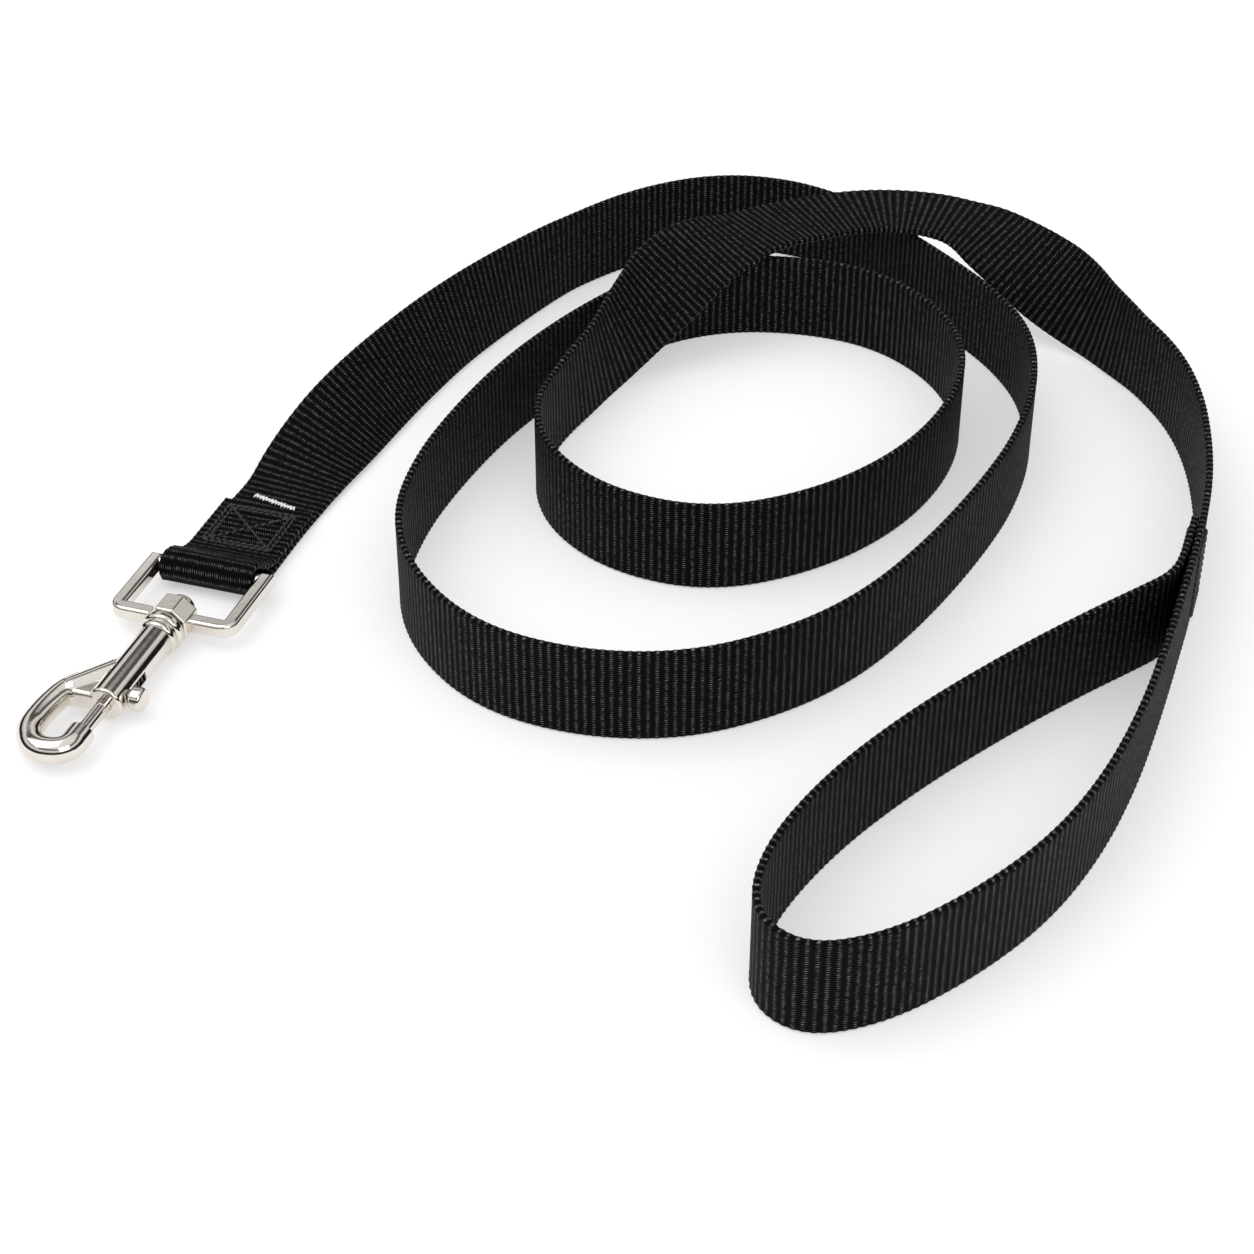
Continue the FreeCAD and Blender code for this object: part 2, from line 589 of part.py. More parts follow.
tack_middle = Vector(
    tail_end.x + size("tack_place"), size("snap_side"), joint.z + HALF_THICK + size("tack_lift") + THREAD)
teeth = int(size("tack_teeth"))
tack_span = size("webbing_width") - 2 * size("tack_inset")
tack_points = [
    (size("tack_depth") / 2 * (1 if k % 2 else -1), tack_span * (k / (2 * teeth) - 0.5))
    for k in range(2 * teeth + 1)]
tack = thread_mat(
    tack_middle, Vector(1, 0, 0), Vector(0, 1, 0), list(zip(tack_points, tack_points[1:])), THREAD)
feature("white_bar_tack", tack)

doc.recompute()
for thing in doc.Objects:
    if "Invalid" in thing.State or "Error" in thing.State:
        raise RuntimeError("%s failed: %s" % (thing.Name, thing.State))
os.makedirs("parts", exist_ok=True)
whole = FreeCAD.BoundBox()
for thing in NODES:
    shape = thing.Shape
    if shape.isNull() or not shape.isValid() or not shape.Solids:
        raise RuntimeError("%s has no valid solid" % thing.Label)
    shape.exportStep("parts/%s.step" % thing.Label)
    whole.add(shape.BoundBox)
    print("%-22s solids %d volume %9.1f" % (thing.Label, len(shape.Solids), shape.Volume))
print("webbing route %.0f mm" % webbing_length)
print("box x %.2f %.2f y %.2f %.2f z %.2f %.2f" % (
    whole.XMin, whole.XMax, whole.YMin, whole.YMax, whole.ZMin, whole.ZMax))
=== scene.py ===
import bpy
import math
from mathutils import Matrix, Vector


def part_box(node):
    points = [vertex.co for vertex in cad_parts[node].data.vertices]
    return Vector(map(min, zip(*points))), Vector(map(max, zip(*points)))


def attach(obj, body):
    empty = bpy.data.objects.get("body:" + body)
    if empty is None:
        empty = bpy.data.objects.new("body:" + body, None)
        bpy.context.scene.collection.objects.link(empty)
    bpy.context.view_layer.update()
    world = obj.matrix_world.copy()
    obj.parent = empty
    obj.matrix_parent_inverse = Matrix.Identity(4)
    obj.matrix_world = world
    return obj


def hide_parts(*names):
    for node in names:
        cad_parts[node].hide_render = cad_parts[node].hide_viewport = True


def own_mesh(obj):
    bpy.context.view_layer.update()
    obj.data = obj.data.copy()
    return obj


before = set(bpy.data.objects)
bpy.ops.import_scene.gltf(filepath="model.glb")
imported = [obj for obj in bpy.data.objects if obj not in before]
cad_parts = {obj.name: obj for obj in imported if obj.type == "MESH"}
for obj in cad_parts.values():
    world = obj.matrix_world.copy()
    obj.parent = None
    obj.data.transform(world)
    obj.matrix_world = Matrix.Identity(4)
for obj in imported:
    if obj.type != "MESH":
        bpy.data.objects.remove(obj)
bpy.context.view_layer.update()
MM = 0.001
UP = Vector((0, 0, 1))
ALONG_X = Vector((1, 0, 0))
ACROSS_Y = Vector((0, 1, 0))
TINY = 1e-9

# Webbing, with the CAD part's width and thickness, and the scene's own ribs.
# A name that ends in _MM is in millimetres. The other lengths here are in metres.
WIDTH_MM = 25.4
WIDTH = WIDTH_MM * MM
THICK = 1.8 * MM
RIB_PITCH_MM = 2.1
RIB_PITCH = RIB_PITCH_MM * MM
RIB_HEIGHT = 0.13 * MM
ROWS_PER_RIB = 5
EDGE_SCALLOP = 0.13 * MM
BEAD_HEIGHT = 0.07 * MM

# The webbing's section. A point has its place across in -1..1, its side of the section in -1..1,
# and its share of the rib. The columns crowd toward the edges.
FACE_COLUMNS = 12
FACE_REACH = 0.955
FACE_CROWDING = 0.86
EDGE_POINTS = [(0.985, 0.62, 0.5), (1.0, 0, 0.0), (0.985, -0.62, 0.5)]
EDGE_FROM = 0.96
FACE_SCALLOP = 0.3
BEAD_FROM = 0.9
BEAD_TO = 0.97

# The snap's end of the strap, in millimetres, with the numbers of the CAD part.
SNAP_SIDE = 111
LAYER_STEP = 2.0
TAIL_END_X = -24
BAR_X = -59
BAR_Z = 5.5
TURN_RADIUS = 3.1

# The tail's fold round the strap bar, then the route to the end of the hand loop:
# x, y, height in millimetres, and lean in degrees, 0 standing on its edge and 90 lying flat.
FOLD = [
    (TAIL_END_X, SNAP_SIDE, 0.9 + LAYER_STEP, 90), (-38, SNAP_SIDE, 0.95 + LAYER_STEP, 90),
    (-49.2, SNAP_SIDE, 0.9 + LAYER_STEP, 90),
    (BAR_X + TURN_RADIUS, SNAP_SIDE, BAR_Z + TURN_RADIUS, 90),
    (BAR_X - TURN_RADIUS, SNAP_SIDE, BAR_Z + TURN_RADIUS, 90),
    (BAR_X - TURN_RADIUS, SNAP_SIDE, BAR_Z - TURN_RADIUS, 90),
    (BAR_X + TURN_RADIUS, SNAP_SIDE, BAR_Z - TURN_RADIUS, 90), (-51.2, SNAP_SIDE, 0.9, 90),
]
ROUTE = [
    (-46, 111, 0.9, 90), (-27, 111, 0.9, 90), (-12, 109.8, 1.25, 90), (-1.5, 108.7, 4.2, 76),
    (18.4, 104.4, 9, 50), (39.8, 100, 11.3, 34), (67.4, 94, 12.4, 20), (94.6, 85.3, 12.8, 10),
    (120.2, 75.5, 12.7, 0), (143.1, 61.2, 12.7, 0), (158.8, 42.1, 12.7, 0),
    (162.7, 20.3, 12.7, 0), (156.2, -1.8, 12.7, 0), (141.5, -21.3, 12.7, 0),
    (126.5, -39.8, 12.7, 0), (110.9, -56.5, 12.7, 0), (91.8, -69, 12.7, 0), (66.2, -75, 12.7, 0),
    (39.3, -75.5, 12.7, 0), (12.7, -71.5, 12.7, 0), (-16.9, -64.4, 12.7, 0), (-43.1, -55, 12.7, 0),
    (-63.2, -41.6, 12.7, 0), (-80.2, -21.8, 12.7, 0), (-87.3, 3.2, 12.7, 0),
    (-84.2, 29.4, 12.7, 0), (-68.2, 51.5, 12.7, 0), (-46.3, 64.9, 12.7, 0), (-20.3, 69.1, 12.7, 0),
    (6.2, 68.3, 12.7, 0), (35.9, 64.3, 12.7, 0), (66.2, 55.2, 12.7, 0), (92.4, 42.6, 12.7, 0),
    (108.7, 24.8, 12.7, 0), (115.1, 1.7, 12.7, 0), (113.1, -21.1, 12.7, 0),
    (98.7, -41.5, 12.7, 0), (78.3, -53.4, 12.7, 0), (50.8, -56, 12.7, 0), (21.1, -48.8, 12.7, 0),
    (-4, -32.8, 12.7, 0), (-20.9, -9.9, 12.7, 0), (-20.1, 16.6, 12.7, 0), (-7, 37.7, 12.7, 0),
    (13.3, 49.6, 12.7, 0), (35.6, 50.1, 12.7, 0), (57.7, 45.6, 14.2, 6), (79.1, 39.8, 20.5, 26),
    (99.2, 31.2, 29.2, 64), (117.8, 19.4, 29.3, 90), (134.9, 3.9, 28.4, 90),
    (146.3, -15, 28.4, 90), (146.9, -37.9, 28.2, 88), (140.1, -55.7, 22.6, 62),
    (134.5, -70.2, 16.8, 34), (125.2, -83.4, 13.5, 11), (110.9, -97.3, 12.7, 0),
    (94.4, -109.4, 12.7, 0), (74.1, -117.9, 12.7, 0), (50.6, -123.4, 12.7, 0),
    (28.5, -126.4, 12.7, 0), (3.5, -127.1, 12.7, 0), (-17.7, -126.7, 12.7, 0),
    (-38.9, -126.2, 12.7, 0), (-64.5, -125, 12.7, 0), (-92, -121.3, 12.7, 0),
    (-117.6, -113.9, 12.7, 0), (-140.5, -101.4, 12.7, 0), (-158.3, -87.2, 12.7, 0),
    (-166.9, -72.1, 12.7, 0), (-159.5, -59.2, 12.7, 0), (-139.3, -56.8, 12.7, 0),
    (-111.8, -63.6, 12.7, 0), (-83.4, -76.5, 12.7, 0), (-54.8, -93.5, 12.7, 0),
    (-34, -107.6, 12.7, 0), (-21, -117.2, 12.7, 0), (-12.5, -123.2, 12.7, 0),
    (-3, -124.9, 12.7, 0), (14, -124.9, 12.7, 0),
]
CURVE_STEPS = 24

# The fold ends at the line's first point that is this low and this far from the bar.
FOLD_END_Z = 0.0012
FOLD_END_X = -0.05

# How many points of the line to search for the next control point, and the passes that smooth
# the lean.
LEAN_REACH = 260
LEAN_PASSES = 60

# Look of the webbing: distances in millimetres, noise scales per millimetre, and shares.
WOBBLE_SCALE = 0.35
RIB_WOBBLE = 0.5
THREAD_PITCH_MM = 0.62
THREAD_SLANT = 0.16
THREAD_SHARPNESS = 2.2
DASH_SHARPNESS = 1.5
# Random patches where the painted rib highlight is weaker.
HIGHLIGHT_PATCH_SCALE = 0.9
HIGHLIGHT_PATCH_STOPS = [(0.36, (0.4,) * 3), (0.62, (1.0,) * 3)]
# Painted highlight on the edge beads, within this distance of the selvage.
SELVAGE_MM = 1.1
BEAD_SHARPNESS = 2.0
BEAD_HIGHLIGHT = 0.5
# Webbing colour: near black for the nylon, up to grey at 1.0 for the painted highlight on rib
# crests and edge beads.
WEBBING_STOPS = [
    (0.0, (0.0012, 0.0012, 0.0014)), (0.3, (0.004, 0.004, 0.0043)), (1.0, (0.2, 0.2, 0.21)),
]
WEBBING_ROUGHNESS = 0.6
PLAIN_GLOSS = 0.05
DASH_GLOSS = 0.3
FUZZ_SCALE = 2.6
FUZZ_SHARE = 0.4
THREAD_SHARE = 0.6

# Stitches: sizes in metres, then shares of the stitch's pitch or of the thread's radius.
TUBE_SIDES = 8
STEEP = 0.8
STITCH_PITCH = 1.9 * MM
STITCH_RADIUS = 0.42 * MM
STITCH_FROM = 0.08
STITCH_TO = 0.92
STITCH_SUNK = 1.1
STITCH_STRAY = 0.8
STITCH_RISE = 0.14
STITCH_FALL = 0.86
STITCH_CROWN = 0.35
STITCH_TAPER = (0.6, 0.95, 1, 0.95, 0.6)
STRAY_PER_STITCH = 12.9
STRAY_PER_MM = 78.2
SECOND_ROW = 0.86

# The stitched boxes and the white tack, in metres, over the stitching of the CAD part.
HALF_BOX = (WIDTH_MM / 2 - 3.2) * MM
SNAP_BOX_MIDDLE = Vector((-35.5, 111, 3.9)) * MM
SNAP_BOX_HALF_LENGTH = 8.5 * MM
GRIP_BOX_INNER_MIDDLE = Vector((7.1, -123.9, 12.7)) * MM
GRIP_BOX_OUTER_MIDDLE = Vector((7.1, -128.05, 12.7)) * MM
GRIP_BOX_HALF_LENGTH = 5.5 * MM
TACK_START = Vector((-21.3, 104.6, 0)) * MM
TACK_END = Vector((-18.2, 117.4, 0)) * MM
TACK_Z = 2.15 * MM
TACK_TEETH = 13
TACK_DEPTH_MM = 0.85
TACK_UNEVEN_MM = 0.2
TACK_STRAY = 7.3
TACK_CROWN_MM = 0.14
TACK_RADII = [0.18 * MM, 0.3 * MM, 0.18 * MM]

# The return spring's wire, as in the CAD part.
SPRING_WIRE = 0.3 * MM
SPRING_TURNS = 9
POINTS_PER_TURN = 24

# Studio: floor, what the world shows in reflections from the horizon up, and its plain light.
FLOOR_SIZE = 30
FLOOR_GREY = 0.58
FLOOR_GLOW = 0.42
WORLD_BANDS = [
    (0.0, (0.7,) * 3), (0.05, (0.02,) * 3), (0.3, (0.015,) * 3), (0.36, (0.6,) * 3),
    (0.55, (0.9,) * 3), (0.62, (0.1,) * 3), (0.7, (0.08,) * 3), (0.78, (0.85,) * 3),
    (1.0, (0.95,) * 3),
]
WORLD_LIGHT = (0.86, 0.86, 0.87, 1)
WHITE = (1, 1, 1, 1)
# Sockets of Blender's Mix node in its colour mode.
MIX_FACTOR, MIX_A, MIX_B, MIX_RESULT = 0, 6, 7, 2

# Camera: where the photograph was taken from, its aim and its lens.
CAMERA_AT = (-0.5395, -0.1563, 0.3803)
CAMERA_AIM = (-0.0417, 0.0054, 0.0)
LENS = 74.35
SENSOR = 36.0
CLIP_START = 0.01


def new_material(name):
    material = bpy.data.materials.new(name)
    material.use_nodes = True
    tree = material.node_tree
    return material, tree, tree.nodes["Principled BSDF"]


class Graph:
    """Short names for adding nodes to a material or the world."""

    def __init__(self, tree):
        self.tree = tree

    def node(self, kind, **inputs):
        made = self.tree.nodes.new(kind)
        for name, value in inputs.items():
            self.feed(made.inputs[name], value)
        return made

    def feed(self, socket, value):
        if hasattr(value, "is_output"):
            self.tree.links.new(value, socket)
        else:
            socket.default_value = value

    def math(self, operation, *values, clamp=False):
        made = self.tree.nodes.new("ShaderNodeMath")
        made.operation = operation
        made.use_clamp = clamp
        for i, value in enumerate(values):
            self.feed(made.inputs[i], value)
        return made.outputs[0]

    def wave(self, phase):
        """The phase's cosine, brought into 0..1."""
        return self.math("MULTIPLY_ADD", self.math("COSINE", phase), 0.5, 0.5)

    def ramp(self, value, stops):
        made = self.tree.nodes.new("ShaderNodeValToRGB")
        self.feed(made.inputs[0], value)
        while len(made.color_ramp.elements) < len(stops):
            made.color_ramp.elements.new(0.5)
        for element, (place, color) in zip(made.color_ramp.elements, stops):
            element.position = place
            element.color = (*color, 1)
        return made.outputs[0]

    def mix(self, factor, first, second):
        """The first colour where the factor is 0, the second where it is 1."""
        made = self.tree.nodes.new("ShaderNodeMix")
        made.data_type = "RGBA"
        self.feed(made.inputs[MIX_FACTOR], factor)
        self.feed(made.inputs[MIX_A], first)
        self.feed(made.inputs[MIX_B], second)
        return made.outputs[MIX_RESULT]

    def noise(self, vector, scale, detail=2.0):
        made = self.node("ShaderNodeTexNoise", Scale=scale, Detail=detail, Vector=vector)
        return made.outputs[0]

    def bump(self, height, distance, strength):
        made = self.node(
            "ShaderNodeBump", Strength=strength, Distance=distance, Height=height)
        return made.outputs[0]


def webbing_material():
    """Black nylon, with painted highlight: bright dashes where the warp threads run over the rib
    crests, and brighter edge beads, in millimetres from the UV map.
    """
    material, tree, shader = new_material("black_nylon_webbing")
    g = Graph(tree)
    uv_map = tree.nodes.new("ShaderNodeUVMap")
    uv_map.uv_map = "strap_mm"
    where = uv_map.outputs[0]
    split = g.node("ShaderNodeSeparateXYZ", Vector=where)
    along, across = split.outputs[0], split.outputs[1]
    centred = g.math("SUBTRACT", g.noise(where, scale=WOBBLE_SCALE), 0.5)
    wobble = g.math("MULTIPLY", centred, RIB_WOBBLE)
    crest = g.wave(g.math("MULTIPLY", g.math("ADD", along, wobble), 2 * math.pi / RIB_PITCH_MM))
    slant = g.math("MULTIPLY_ADD", along, THREAD_SLANT, across)
    warp = g.wave(g.math("MULTIPLY", slant, 2 * math.pi / THREAD_PITCH_MM))
    thread = g.math("POWER", warp, THREAD_SHARPNESS)
    # Painted highlight: bright dashes where the warp threads run over the rib crests.
    rib_highlight = g.math("MULTIPLY", g.math("POWER", crest, DASH_SHARPNESS), thread)
    # The painted highlight is weaker in random patches.
    highlight_patches = g.ramp(g.noise(where, scale=HIGHLIGHT_PATCH_SCALE, detail=3.0), HIGHLIGHT_PATCH_STOPS)
    patchy_rib_highlight = g.math("MULTIPLY", rib_highlight, highlight_patches)
    edge = g.math("SUBTRACT", WIDTH_MM / 2, g.math("ABSOLUTE", across))
    selvage = g.math("SUBTRACT", 1.0, g.math("DIVIDE", edge, SELVAGE_MM), clamp=True)
    # Painted highlight on the edge beads at the rib crests.
    bead = g.math("MULTIPLY", selvage, g.math("POWER", crest, BEAD_SHARPNESS))
    # The painted highlight of the ribs and of the edge beads, whichever is brighter.
    light = g.math("MAXIMUM", patchy_rib_highlight, g.math("MULTIPLY", bead, BEAD_HIGHLIGHT))
    tree.links.new(g.ramp(light, WEBBING_STOPS), shader.inputs["Base Color"])
    shader.inputs["Roughness"].default_value = WEBBING_ROUGHNESS
    gloss = g.math("MULTIPLY_ADD", light, DASH_GLOSS, PLAIN_GLOSS)
    tree.links.new(gloss, shader.inputs["Specular IOR Level"])
    fuzz = g.math("MULTIPLY", g.noise(where, scale=FUZZ_SCALE, detail=3.0), FUZZ_SHARE)
    height = g.math("MULTIPLY_ADD", thread, THREAD_SHARE, fuzz)
    tree.links.new(g.bump(height, distance=0.00022, strength=0.8), shader.inputs["Normal"])
    return material


def thread_material(name, base, bright):
    """Twisted sewing thread, with fine slanted strands, and painted highlight along the strands.
    """
    material, tree, shader = new_material(name)
    g = Graph(tree)
    where = tree.nodes.new("ShaderNodeTexCoord").outputs["Object"]
    wave = g.node("ShaderNodeTexWave", Scale=900, Distortion=2, Vector=where)
    wave.bands_direction = "DIAGONAL"
    strands = wave.outputs[1]
    # Painted highlight on the strands: the wave runs from the base colour to the bright colour.
    color = g.ramp(strands, [(0.0, base), (1.0, bright)])
    tree.links.new(color, shader.inputs["Base Color"])
    shader.inputs["Roughness"].default_value = 0.55
    tree.links.new(g.bump(strands, distance=0.0001, strength=0.6), shader.inputs["Normal"])
    return material


def metal_material(name, color, dark, roughness, spread=0.08):
    """Bright plate: faint mottling in colour and roughness, and very shallow polishing waves."""
    material, tree, shader = new_material(name)
    g = Graph(tree)
    where = tree.nodes.new("ShaderNodeTexCoord").outputs["Object"]
    mottle = g.noise(where, scale=160, detail=4.0)
    tone = g.ramp(mottle, [(0.3, dark), (0.7, color)])
    tree.links.new(tone, shader.inputs["Base Color"])
    shader.inputs["Metallic"].default_value = 1.0
    blur = g.noise(where, scale=420, detail=3.0)
    rough = g.math("MULTIPLY_ADD", blur, spread, roughness - spread / 2)
    tree.links.new(rough, shader.inputs["Roughness"])
    ripple = g.bump(g.noise(where, scale=700), distance=0.00002, strength=0.5)
    tree.links.new(ripple, shader.inputs["Normal"])
    return material


def spline_line(points):
    """Points along the smooth curve that takes the route's points as its control points."""
    curve = bpy.data.curves.new("route", "CURVE")
    curve.dimensions = "3D"
    curve.resolution_u = CURVE_STEPS
    spline = curve.splines.new("NURBS")
    spline.points.add(len(points) - 1)
    for held, (x, y, z, lean) in zip(spline.points, points):
        held.co = (x * MM, y * MM, z * MM, 1)
    spline.order_u = 3
    spline.use_endpoint_u = True
    holder = bpy.data.objects.new("route", curve)
    mesh = bpy.data.meshes.new_from_object(holder)
    line = [v.co.copy() for v in mesh.vertices]
    bpy.data.meshes.remove(mesh)
    bpy.data.objects.remove(holder)
    bpy.data.curves.remove(curve)
    return line


def lengths_of(line):
    """Length of the line up to each of its points."""
    total = [0.0]
    for a, b in zip(line, line[1:]):
        total.append(total[-1] + (b - a).length)
    return total


def even(line, step):
    """The line again, at an even step, with its length."""
    total = lengths_of(line)
    count = max(2, round(total[-1] / step))
    found, k = [], 0
    for i in range(count + 1):
        want = total[-1] * i / count
        while k < len(line) - 2 and total[k + 1] < want:
            k += 1
        part = (want - total[k]) / max(total[k + 1] - total[k], TINY)
        found.append(line[k].lerp(line[k + 1], min(max(part, 0), 1)))
    return found, total[-1]


def smooth_values(values, passes):
    for _ in range(passes):
        values = [values[0]] + [
            (a + 2 * b + c) / 4 for a, b, c in zip(values, values[1:], values[2:])] + [values[-1]]
    return values


def leans_along(line, points):
    """Lean at each point of the line, from the lean of the control points it passes."""
    marks, start = [], 0
    for x, y, z, lean in points:
        here = Vector((x * MM, y * MM, z * MM))
        reach = range(start, min(start + LEAN_REACH, len(line)))
        near = min(reach, key=lambda i: (line[i] - here).length)
        marks.append((near, lean))
        start = near
    marks[-1] = (len(line) - 1, points[-1][3])
    values = []
    for (a, low), (b, high) in zip(marks, marks[1:]):
        values += [low + (high - low) * (i - a) / max(b - a, 1) for i in range(a, b)]
    values += [points[-1][3]] * (len(line) - len(values))
    return smooth_values(values, LEAN_PASSES)


def frames_along(line, leans, fold_count):
    """At each point, the ways from one selvage to the other and from one face to the other."""
    found = []
    for i in range(len(line)):
        a, b = line[max(i - 1, 0)], line[min(i + 1, len(line) - 1)]
        heading = (b - a).normalized()
        if i < fold_count:
            across = ACROSS_Y
        else:
            left = UP.cross(heading).normalized()
            tilt = math.radians(leans[i])
            across = left * math.sin(tilt) + UP * math.cos(tilt)
        across = (across - heading * across.dot(heading)).normalized()
        found.append((across, heading.cross(across)))
    return found


def strap_profile():
    """Points round the webbing's section: place across, side of the face, share of the rib."""
    around = []
    for side in (1, -1):
        for k in range(FACE_COLUMNS):
            part = (k / (FACE_COLUMNS - 1)) * 2 - 1
            across = FACE_REACH * math.sin(part * math.pi / 2 * FACE_CROWDING) / math.sin(
                math.pi / 2 * FACE_CROWDING)
            around.append((across * side, side, 1.0))
        for across, lift, share in EDGE_POINTS:
            around.append((across * side, lift * side, share))
    return around


def place_mesh(name, mesh):
    """An object in the scene that shows a new mesh, with smooth shading."""
    mesh.polygons.foreach_set("use_smooth", [True] * len(mesh.polygons))
    mesh.validate()
    mesh.update()
    made = bpy.data.objects.new(name, mesh)
    bpy.context.collection.objects.link(made)
    return made


def add_object(name, verts, faces, material):
    mesh = bpy.data.meshes.new(name)
    mesh.from_pydata(verts, [], faces)
    made = place_mesh(name, mesh)
    made.data.materials.append(material)
    return made


def build_strap():
    """The whole ribbed strap in one mesh, with the line it follows and that line's length."""
    points = FOLD + ROUTE
    line, length = even(spline_line(points), RIB_PITCH / ROWS_PER_RIB)
    leans = leans_along(line, points)
    fold_count = next(i for i, p in enumerate(line) if p.z < FOLD_END_Z and p.x > FOLD_END_X)
    frames = frames_along(line, leans, fold_count)
    profile = strap_profile()
    verts, faces = [], []
    for i, (point, (across, through)) in enumerate(zip(line, frames)):
        rib = math.cos(2 * math.pi * i / ROWS_PER_RIB)
        scallop = EDGE_SCALLOP * (rib - 1) / 2
        for a, side, share in profile:
            half = WIDTH / 2 + scallop * (1 if abs(a) > EDGE_FROM else FACE_SCALLOP)
            lift = THICK / 2 - RIB_HEIGHT * share * (1 - rib) / 2
            bead = BEAD_HEIGHT * (1 if BEAD_FROM < abs(a) < BEAD_TO else 0) * (1 + rib) / 2
            verts.append(point + across * (half * a) + through * (side * (lift + bead)))
    count = len(profile)
    for i in range(len(line) - 1):
        for k in range(count):
            n = (k + 1) % count
            faces.append((i * count + k, i * count + n, (i + 1) * count + n, (i + 1) * count + k))
    faces.append(tuple(range(count)))
    faces.append(tuple((len(line) - 1) * count + k for k in reversed(range(count))))
    mesh = bpy.data.meshes.new("webbing_strap")
    mesh.from_pydata(verts, [], faces)
    layer = mesh.uv_layers.new(name="strap_mm")
    step = length / (len(line) - 1) / MM
    for poly in mesh.polygons:
        for loop in poly.loop_indices:
            vertex = mesh.loops[loop].vertex_index
            row, column = divmod(vertex, count)
            a = profile[column][0]
            layer.data[loop].uv = (row * step, a * WIDTH / 2 / MM)
    return place_mesh("webbing_strap", mesh), line, length


def add_tube(verts, faces, path, radii):
    """A closed tube through the path, with the radius of each of its rings."""
    base = len(verts)
    for i, point in enumerate(path):
        heading = (path[min(i + 1, len(path) - 1)] - path[max(i - 1, 0)]).normalized()
        side = heading.cross(UP if abs(heading.z) < STEEP else ALONG_X).normalized()
        other = heading.cross(side)
        for k in range(TUBE_SIDES):
            turn = 2 * math.pi * k / TUBE_SIDES
            verts.append(point + (side * math.cos(turn) + other * math.sin(turn)) * radii[i])
    for i in range(len(path) - 1):
        for k in range(TUBE_SIDES):
            n = (k + 1) % TUBE_SIDES
            row = base + i * TUBE_SIDES
            faces.append((row + k, row + n, row + TUBE_SIDES + n, row + TUBE_SIDES + k))
    faces.append(tuple(base + k for k in reversed(range(TUBE_SIDES))))
    last = base + (len(path) - 1) * TUBE_SIDES
    faces.append(tuple(last + k for k in range(TUBE_SIDES)))


def stitch_line(verts, faces, start, end, normal):
    """A row of lockstitches: each thread rises from its hole, lies on the webbing, goes down."""
    span = end - start
    count = max(1, round(span.length / STITCH_PITCH))
    sunk = normal * (STITCH_RADIUS * STITCH_SUNK)
    sideways = normal.cross(span).normalized() * (STITCH_RADIUS * STITCH_STRAY)
    for i in range(count):
        stray = sideways * math.sin(STRAY_PER_STITCH * i + STRAY_PER_MM * span.length / MM)
        a = start + span * ((i + STITCH_FROM) / count) + stray
        b = start + span * ((i + STITCH_TO) / count) - stray
        crown = a.lerp(b, 0.5) + normal * STITCH_RADIUS * STITCH_CROWN
        path = [a - sunk, a.lerp(b, STITCH_RISE), crown, a.lerp(b, STITCH_FALL), b - sunk]
        add_tube(verts, faces, path, [STITCH_RADIUS * s for s in STITCH_TAPER])


def box_stitches(name, boxes, material):
    """Stitched rectangles with their diagonals and a second row inside.

    Each box is its middle, two directions, the face's normal, and half its length and width.
    """
    verts, faces = [], []
    for middle, along, across, normal, half_length, half_width in boxes:
        corner = [middle + along * (half_length * a) + across * (half_width * b)
                  for a, b in ((-1, -1), (1, -1), (1, 1), (-1, 1))]
        for a, b in ((0, 1), (1, 2), (2, 3), (3, 0), (0, 2), (1, 3)):
            stitch_line(verts, faces, corner[a], corner[b], normal)
        inner = [middle.lerp(c, SECOND_ROW) for c in corner]
        for a, b in ((0, 1), (1, 2), (2, 3), (3, 0)):
            stitch_line(verts, faces, inner[a], inner[b], normal)
    return add_object(name, verts, faces, material)


def bar_tack(name, start, end, z, material):
    """White zigzag across the webbing, in plain teeth of a slightly uneven depth."""
    verts, faces, points = [], [], []
    for k in range(2 * TACK_TEETH + 1):
        depth = (TACK_DEPTH_MM + TACK_UNEVEN_MM * math.sin(TACK_STRAY * k)) * MM
        side = depth if k % 2 else -depth
        points.append(start.lerp(end, k / (2 * TACK_TEETH)) + Vector((side, 0, z)))
    for a, b in zip(points, points[1:]):
        path = [a, a.lerp(b, 0.5) + UP * TACK_CROWN_MM * MM, b]
        add_tube(verts, faces, path, TACK_RADII)
    return add_object(name, verts, faces, material)


def coil_spring(name, node, material):
    """A wound wire in the place of the node's solid, on the hook's body."""
    low, high = (Vector(corner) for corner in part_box(node))
    middle = (low + high) / 2
    radius = (high.z - low.z) / 2 - SPRING_WIRE
    start, end = low.x + SPRING_WIRE, high.x - SPRING_WIRE
    count = SPRING_TURNS * POINTS_PER_TURN
    path = []
    for i in range(count + 1):
        turn = 2 * math.pi * i / POINTS_PER_TURN
        path.append(Vector((
            start + (end - start) * i / count, middle.y + radius * math.cos(turn),
            middle.z + radius * math.sin(turn))))
    verts, faces = [], []
    add_tube(verts, faces, path, [SPRING_WIRE] * len(path))
    spring = add_object(name, verts, faces, material)
    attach(spring, "hook")
    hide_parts(node)
    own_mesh(spring)


def add_floor():
    """Plain white floor that keeps the object's shadow."""
    bpy.ops.mesh.primitive_plane_add(size=FLOOR_SIZE, location=(0, 0, 0))
    floor = bpy.context.object
    floor.name = "floor"
    material, tree, shader = new_material("floor_white")
    shader.inputs["Base Color"].default_value = (FLOOR_GREY, FLOOR_GREY, FLOOR_GREY, 1)
    shader.inputs["Emission Color"].default_value = WHITE
    shader.inputs["Emission Strength"].default_value = FLOOR_GLOW
    shader.inputs["Roughness"].default_value = 0.9
    shader.inputs["Specular IOR Level"].default_value = 0.1
    floor.data.materials.append(material)


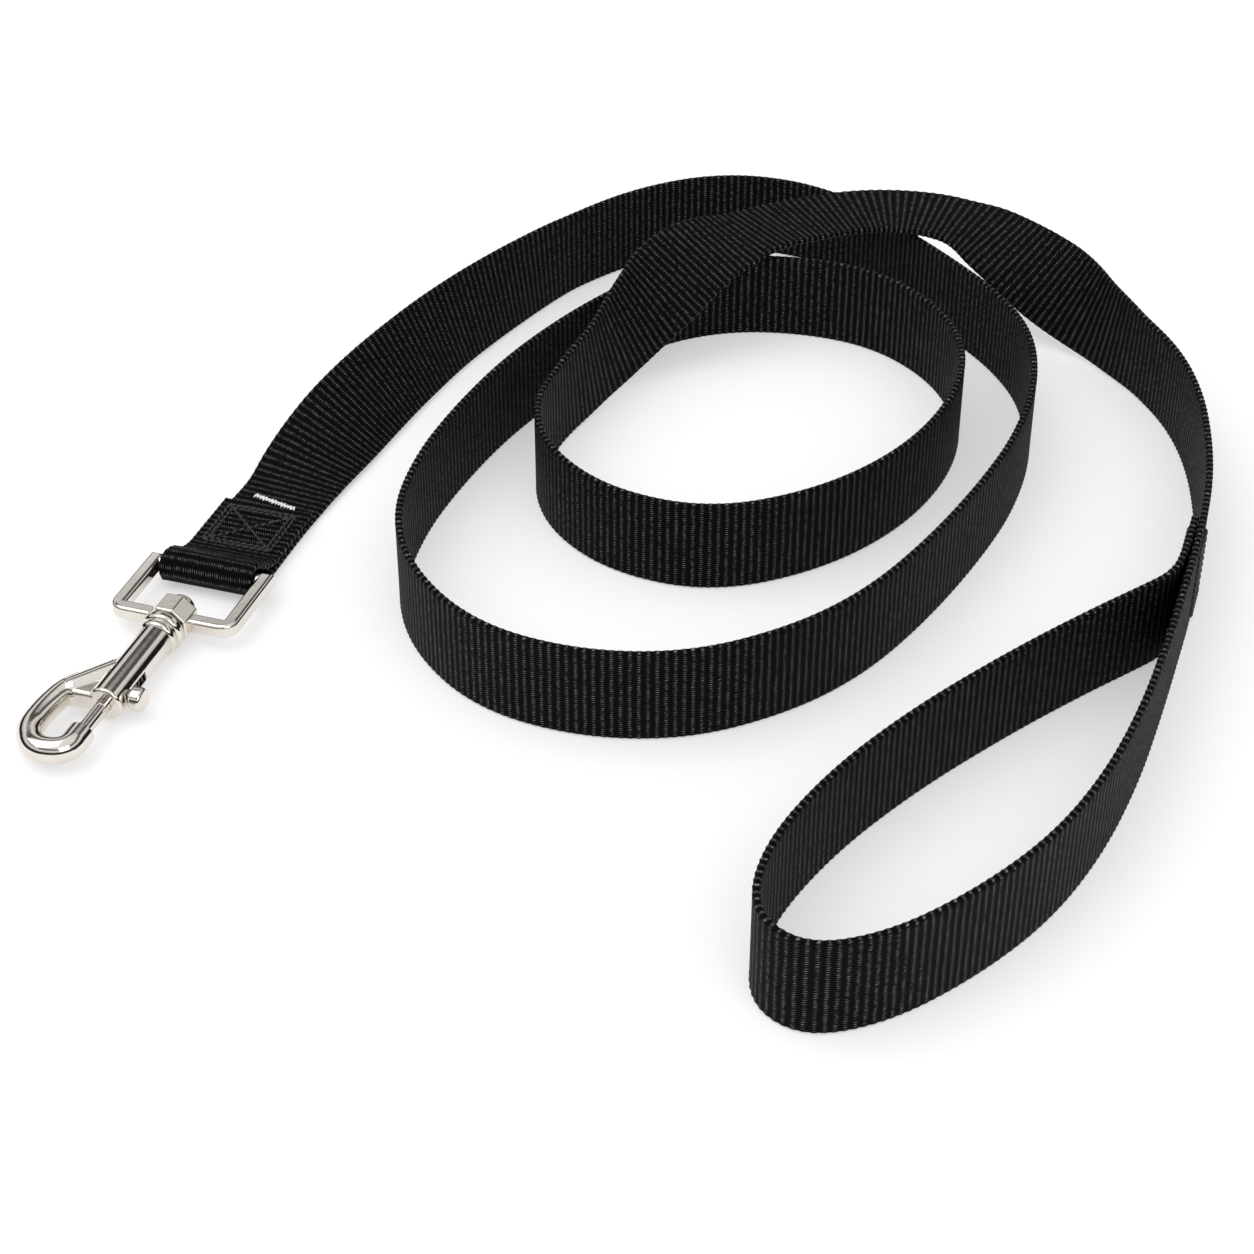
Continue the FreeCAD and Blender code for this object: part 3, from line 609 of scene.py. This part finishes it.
def add_world():
    """White to the camera, plain light on the object, and dark and bright bands in reflections."""
    world = bpy.data.worlds.new("studio")
    world.use_nodes = True
    tree = world.node_tree
    g = Graph(tree)
    background = tree.nodes["Background"]
    direction = tree.nodes.new("ShaderNodeTexCoord").outputs["Generated"]
    height = g.node("ShaderNodeSeparateXYZ", Vector=direction).outputs[2]
    bands = g.ramp(height, WORLD_BANDS)
    rays = tree.nodes.new("ShaderNodeLightPath").outputs
    mirrored = g.math("MAXIMUM", rays["Is Glossy Ray"], rays["Is Transmission Ray"])
    lit = g.mix(mirrored, WORLD_LIGHT, bands)
    shown = g.mix(rays["Is Camera Ray"], lit, WHITE)
    tree.links.new(shown, background.inputs["Color"])
    background.inputs["Strength"].default_value = 1.0
    bpy.context.scene.world = world


def add_lamp(name, at, aim, size, power):
    light = bpy.data.lights.new(name, "AREA")
    light.shape = "SQUARE"
    light.size = size
    light.energy = power
    lamp = bpy.data.objects.new(name, light)
    lamp.location = at
    lamp.rotation_euler = (Vector(aim) - Vector(at)).to_track_quat("-Z", "Y").to_euler()
    bpy.context.collection.objects.link(lamp)


def add_camera():
    camera = bpy.data.cameras.new("camera")
    camera.lens = LENS
    camera.sensor_width = SENSOR
    camera.clip_start = CLIP_START
    holder = bpy.data.objects.new("camera", camera)
    holder.location = CAMERA_AT
    look = Vector(CAMERA_AIM) - Vector(CAMERA_AT)
    holder.rotation_euler = look.to_track_quat("-Z", "Y").to_euler()
    bpy.context.collection.objects.link(holder)
    bpy.context.scene.camera = holder


def dress_nodes(names, material):
    for name in names:
        node = bpy.data.objects[name]
        node.data.materials.clear()
        node.data.materials.append(material)


bpy.context.scene.view_settings.view_transform = "Standard"
add_camera()
add_world()
add_floor()
add_lamp("key", at=(-0.25, 0.55, 1.1), aim=(0, 0, 0), size=1.1, power=5)
add_lamp("fill", at=(-0.7, -0.7, 0.8), aim=(0, 0, 0), size=0.8, power=3)

nickel = metal_material(
    "nickel_plate", color=(0.8, 0.755, 0.7), dark=(0.73, 0.685, 0.63), roughness=0.09)
dress_nodes(["swivel_eye", "hook_body", "swivel_rivet", "bolt", "thumb_stud"], nickel)
spring_steel = metal_material(
    "spring_steel", color=(0.6, 0.6, 0.6), dark=(0.45, 0.45, 0.46), roughness=0.25)
coil_spring("bolt_spring_wire", "bolt_spring", spring_steel)

strap, strap_line, strap_length = build_strap()
strap.data.materials.append(webbing_material())
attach(strap, "lead")
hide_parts("webbing_snap_fold", "webbing_lead_run", "webbing_coil", "webbing_crossover",
            "webbing_handle_run", "webbing_handle_loop")

# The bright colours are painted highlight on the thread's strands.
black_thread = thread_material(
    "black_thread", base=(0.0015, 0.0015, 0.0017), bright=(0.04, 0.04, 0.042))
white_thread = thread_material("white_thread", base=(0.7, 0.7, 0.69), bright=(0.95, 0.95, 0.94))
snap_box = box_stitches("snap_box_threads", [
    (SNAP_BOX_MIDDLE, ALONG_X, ACROSS_Y, UP, SNAP_BOX_HALF_LENGTH, HALF_BOX)], black_thread)
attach(snap_box, "lead")
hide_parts("snap_box_stitching")
grip_box = box_stitches("handle_box_threads", [
    (GRIP_BOX_INNER_MIDDLE, ALONG_X, UP, ACROSS_Y, GRIP_BOX_HALF_LENGTH, HALF_BOX),
    (GRIP_BOX_OUTER_MIDDLE, ALONG_X, UP, -ACROSS_Y, GRIP_BOX_HALF_LENGTH, HALF_BOX)],
    black_thread)
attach(grip_box, "lead")
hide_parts("handle_box_stitching")
tack = bar_tack("bar_tack_threads", TACK_START, TACK_END, TACK_Z, white_thread)
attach(tack, "lead")
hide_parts("white_bar_tack")
